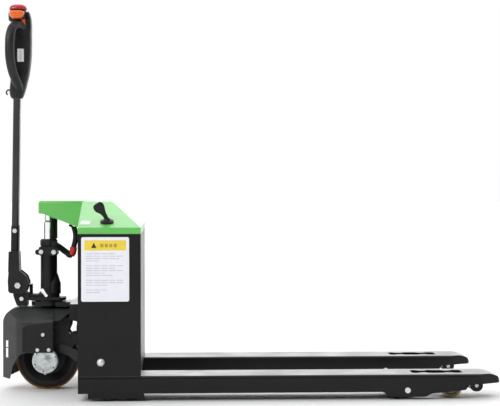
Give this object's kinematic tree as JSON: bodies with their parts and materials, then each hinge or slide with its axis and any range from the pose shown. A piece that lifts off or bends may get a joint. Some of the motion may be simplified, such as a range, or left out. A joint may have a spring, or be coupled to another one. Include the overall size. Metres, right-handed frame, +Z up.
{
  "type": "powered pallet truck",
  "caption": "Low pallet truck with two forks, a battery box under a hood, a steered drive wheel and an upright control tiller.",
  "frame": {"origin": "on the floor under the middle of the truck's bounding box, forks lowered and tiller upright", "axes": "+X from the tiller to the fork tips, +Y to the truck's left side seen from the tiller, +Z up"},
  "size_m": [1.616, 0.7038, 1.2885],
  "materials": {
    "black_paint": "satin powder coat",
    "green_paint": "satin powder coat",
    "tiller_paint": "satin",
    "chrome": "hard chrome",
    "steel": "zinc plated",
    "aluminium": "machined",
    "cast_iron": "painted casting",
    "black_plastic": "fine grain",
    "shroud_plastic": "fine grain",
    "orange_plastic": "moulded",
    "red_plastic": "moulded",
    "grey_plastic": "moulded",
    "tread": "cast polyurethane",
    "roller_plastic": "cast polyurethane",
    "label": "laminated label",
    "cable_rubber": "matt"
  },
  "bodies": {
    "chassis": {"fork_left": "black_paint", "fork_right": "black_paint", "entry_roller_pins": "steel", "arm_pivot_pins": "steel", "skids": "black_paint", "battery_box": "black_paint", "battery_pack": "grey_plastic", "power_pack": "aluminium", "motor_controller": "aluminium", "hood": "green_paint", "nose_beam": "green_paint", "ram": "chrome", "rocker_shaft": "steel", "shaft_nuts": "steel", "label_plate": "label", "isolator_base": "black_plastic", "harness_upper": "cable_rubber"},
    "isolator": {"isolator_key": "black_plastic"},
    "carrier": {"yoke": "black_paint", "yoke_pins": "cast_iron", "harness_plug": "red_plastic"},
    "steer_unit": {"wheel_bracket": "cast_iron", "thrust_bearing": "cast_iron", "drive_axle": "steel", "hub_covers": "aluminium", "shroud": "shroud_plastic", "shroud_bolts": "steel", "cylinder_base": "cast_iron", "cylinder_barrel": "black_paint", "gland_nut": "cast_iron", "cable_clamp": "cast_iron", "clamp_bolts": "steel", "tiller_bracket": "cast_iron", "return_spring": "cast_iron", "harness_lower": "cable_rubber"},
    "drive_wheel": {"drive_tyre": "tread", "drive_rim": "cast_iron"},
    "lowering_valve": {"release_lever": "chrome"},
    "tiller": {"tiller_base": "cast_iron", "tiller_tube": "tiller_paint", "tiller_bolts": "steel", "handle_body": "black_plastic", "grip_loops": "black_plastic", "head_crown": "orange_plastic"},
    "throttle": {"throttle_wings": "black_plastic"},
    "belly_switch": {"belly_button": "red_plastic"},
    "lift_switch": {"lift_button": "grey_plastic"},
    "lower_switch": {"lower_button": "grey_plastic"},
    "horn_switch": {"horn_button": "orange_plastic"},
    "rocker": {"rocker_frame": "black_paint"},
    "push_rod_left": {"push_rod_left": "black_paint"},
    "wheel_arm_left": {"wheel_arm_left": "black_paint"},
    "load_wheel_left": {"load_tyre_left": "roller_plastic", "load_core_left": "steel"},
    "entry_roller_left": {"entry_roller_left": "roller_plastic"},
    "push_rod_right": {"push_rod_right": "black_paint"},
    "wheel_arm_right": {"wheel_arm_right": "black_paint"},
    "load_wheel_right": {"load_tyre_right": "roller_plastic", "load_core_right": "steel"},
    "entry_roller_right": {"entry_roller_right": "roller_plastic"}
  },
  "joints": [
    {"name": "lift", "type": "slide", "parent": "chassis", "child": "carrier", "axis": [0, 0, -1], "range_m": [0, 0.115], "deforming": ["harness_upper"]},
    {"name": "steer", "type": "hinge", "parent": "carrier", "child": "steer_unit", "pos_m": [-0.657, 0, 0.285], "axis": [0, 0, 1], "range_deg": [-90, 90], "deforming": ["harness_lower"]},
    {"name": "drive_spin", "type": "hinge", "parent": "steer_unit", "child": "drive_wheel", "pos_m": [-0.657, 0, 0.105], "axis": [0, 1, 0], "continuous": true},
    {"name": "tiller_tilt", "type": "hinge", "parent": "steer_unit", "child": "tiller", "pos_m": [-0.758, 0, 0.347], "axis": [0, -1, 0], "range_deg": [0, 80], "stiffness_Nm_per_rad": 20, "springref_deg": -34.38, "deforming": ["return_spring"]},
    {"name": "isolator_turn", "type": "hinge", "parent": "chassis", "child": "isolator", "pos_m": [-0.45, -0.292, 0.56397], "axis": [0, -0.2842, 0.9588], "range_deg": [0, 90]},
    {"name": "valve_lever", "type": "hinge", "parent": "steer_unit", "child": "lowering_valve", "pos_m": [-0.663, -0.04, 0.314], "axis": [0, 1, 0], "range_deg": [0, 30], "stiffness_Nm_per_rad": 0.1, "springref_deg": -17.19},
    {"name": "throttle_turn", "type": "hinge", "parent": "tiller", "child": "throttle", "pos_m": [-0.759, 0, 1.2485], "axis": [0, 1, 0], "range_deg": [-25, 25], "stiffness_Nm_per_rad": 0.3},
    {"name": "belly_press", "type": "slide", "parent": "tiller", "child": "belly_switch", "axis": [0, 0, -1], "range_m": [0, 0.004], "stiffness_N_per_m": 1500, "springref_m": -0.002},
    {"name": "lift_press", "type": "slide", "parent": "tiller", "child": "lift_switch", "axis": [1, 0, 0], "range_m": [0, 0.003], "stiffness_N_per_m": 600, "springref_m": -0.001},
    {"name": "lower_press", "type": "slide", "parent": "tiller", "child": "lower_switch", "axis": [1, 0, 0], "range_m": [0, 0.003], "stiffness_N_per_m": 600, "springref_m": -0.001},
    {"name": "horn_press", "type": "slide", "parent": "tiller", "child": "horn_switch", "axis": [1, 0, 0], "range_m": [0, 0.003], "stiffness_N_per_m": 600, "springref_m": -0.001},
    {"name": "rocker_swing", "type": "hinge", "parent": "chassis", "child": "rocker", "pos_m": [-0.468, 0, 0.124], "axis": [0, 1, 0], "range_deg": [-66.35, 0]},
    {"name": "push_rod_left_slide", "type": "slide", "parent": "chassis", "child": "push_rod_left", "axis": [1, 0, 0], "range_m": [0, 0.0303]},
    {"name": "wheel_arm_left_swing", "type": "hinge", "parent": "chassis", "child": "wheel_arm_left", "pos_m": [0.505, 0.2625, 0.03], "axis": [0, 1, 0], "range_deg": [0, 49.75]},
    {"name": "load_spin_left", "type": "hinge", "parent": "wheel_arm_left", "child": "load_wheel_left", "pos_m": [0.6525, 0.2625, 0.037], "axis": [0, 1, 0], "continuous": true},
    {"name": "entry_spin_left", "type": "hinge", "parent": "chassis", "child": "entry_roller_left", "pos_m": [0.733, 0.2625, 0.039], "axis": [0, 1, 0], "continuous": true},
    {"name": "push_rod_right_slide", "type": "slide", "parent": "chassis", "child": "push_rod_right", "axis": [1, 0, 0], "range_m": [0, 0.0303]},
    {"name": "wheel_arm_right_swing", "type": "hinge", "parent": "chassis", "child": "wheel_arm_right", "pos_m": [0.505, -0.2625, 0.03], "axis": [0, 1, 0], "range_deg": [0, 49.75]},
    {"name": "load_spin_right", "type": "hinge", "parent": "wheel_arm_right", "child": "load_wheel_right", "pos_m": [0.6525, -0.2625, 0.037], "axis": [0, 1, 0], "continuous": true},
    {"name": "entry_spin_right", "type": "hinge", "parent": "chassis", "child": "entry_roller_right", "pos_m": [0.733, -0.2625, 0.039], "axis": [0, 1, 0], "continuous": true}
  ],
  "couplings": [
    {"joint": "rocker_swing", "follows": "lift", "rad_per_m": -10.066},
    {"joint": "push_rod_left_slide", "follows": "lift", "ratio": 0.26321},
    {"joint": "wheel_arm_left_swing", "follows": "lift", "rad_per_m": 7.5458},
    {"joint": "push_rod_right_slide", "follows": "lift", "ratio": 0.26321},
    {"joint": "wheel_arm_right_swing", "follows": "lift", "rad_per_m": 7.5458}
  ]
}
